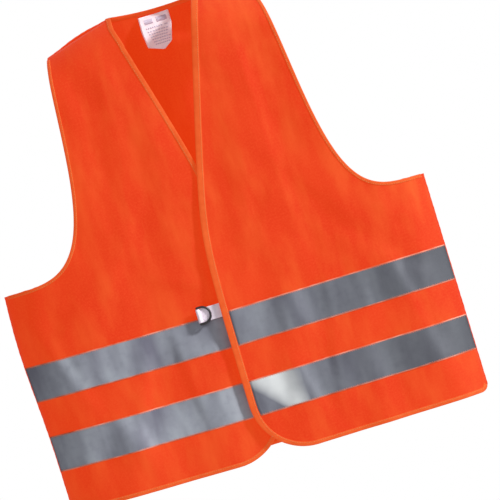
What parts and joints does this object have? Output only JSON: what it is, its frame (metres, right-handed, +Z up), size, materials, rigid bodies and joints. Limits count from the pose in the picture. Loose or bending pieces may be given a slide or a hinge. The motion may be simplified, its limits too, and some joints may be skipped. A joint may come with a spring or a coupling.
{
  "type": "high visibility vest",
  "caption": "Sleeveless orange safety vest with two reflective bands, a V neck, bound edges, an open overlapping front, and a webbing tab with a D-ring for a strap closure.",
  "frame": {"origin": "on the shoulder line at the neck, midway between the shoulder tips, where the vest rests on the wearer's shoulders or a hanger", "axes": "+Z up, fronts face -Y, back faces +Y, the wearer's left side is +X"},
  "size_m": [0.588, 0.0837, 0.635],
  "materials": {
    "vest_cloth": "fluorescent orange knit polyester, matt",
    "binding": "lighter orange woven binding, matt",
    "reflective_tape": "silver-grey glass-bead retroreflective tape, satin",
    "webbing": "white woven webbing, matt",
    "ring_plastic": "black moulded plastic, semi-gloss",
    "hook_tape": "white hook tape",
    "loop_tape": "white loop tape, fuzzy",
    "label_satin": "white satin, printed with plain grey bars"
  },
  "bodies": {
    "root": {"back_panel": "vest_cloth", "right_front_body": "vest_cloth", "left_front_body": "vest_cloth", "back_lower_tape": "reflective_tape", "back_upper_tape": "reflective_tape", "right_body_lower_tape": "reflective_tape", "right_body_upper_tape": "reflective_tape", "left_body_lower_tape": "reflective_tape", "left_body_upper_tape": "reflective_tape", "neck_binding": "binding", "hem_binding": "binding", "right_armhole_binding": "binding", "left_armhole_binding": "binding"},
    "left_flap": {"left_front_flap": "vest_cloth", "left_flap_lower_tape": "reflective_tape", "left_flap_upper_tape": "reflective_tape", "left_edge_binding": "binding", "ring_tab_end": "webbing"},
    "right_flap": {"right_front_flap": "vest_cloth", "right_flap_lower_tape": "reflective_tape", "right_flap_upper_tape": "reflective_tape", "right_edge_binding": "binding", "strap_end": "webbing"},
    "ring_tab": {"ring_tab": "webbing"},
    "d_ring": {"d_ring": "ring_plastic"},
    "closure_strap": {"closure_strap": "webbing", "hook_patch": "hook_tape", "loop_patch": "loop_tape"},
    "care_label": {"care_label": "label_satin"}
  },
  "joints": [
    {"name": "left_front_opens", "type": "hinge", "parent": "root", "child": "left_flap", "pos_m": [0.215, -0.03705, -0.632], "axis": [-0.253, 0, 0.9675], "range_deg": [0, 150]},
    {"name": "right_front_opens", "type": "hinge", "parent": "root", "child": "right_flap", "pos_m": [-0.215, -0.03705, -0.632], "axis": [-0.253, 0, -0.9675], "range_deg": [0, 135]},
    {"name": "ring_tab_bends", "type": "hinge", "parent": "left_flap", "child": "ring_tab", "pos_m": [-0.0224, -0.04421, -0.42096], "axis": [-0.0001, 0.0088, 1], "range_deg": [0, 120]},
    {"name": "d_ring_swings", "type": "hinge", "parent": "ring_tab", "child": "d_ring", "pos_m": [-0.0529, -0.04344, -0.42097], "axis": [0.0001, -0.0088, -1], "range_deg": [0, 180]},
    {"name": "strap_swings", "type": "hinge", "parent": "right_flap", "child": "closure_strap", "pos_m": [0.01548, -0.03285, -0.421], "axis": [0, 0, -1], "range_deg": [0, 25]},
    {"name": "label_flips", "type": "hinge", "parent": "root", "child": "care_label", "pos_m": [0.008, 0.02166, -0.011], "axis": [-1, 0, 0], "range_deg": [0, 110]}
  ],
  "couplings": [
    {"joint": "right_front_opens", "follows": "left_front_opens", "ratio": 0.9}
  ]
}
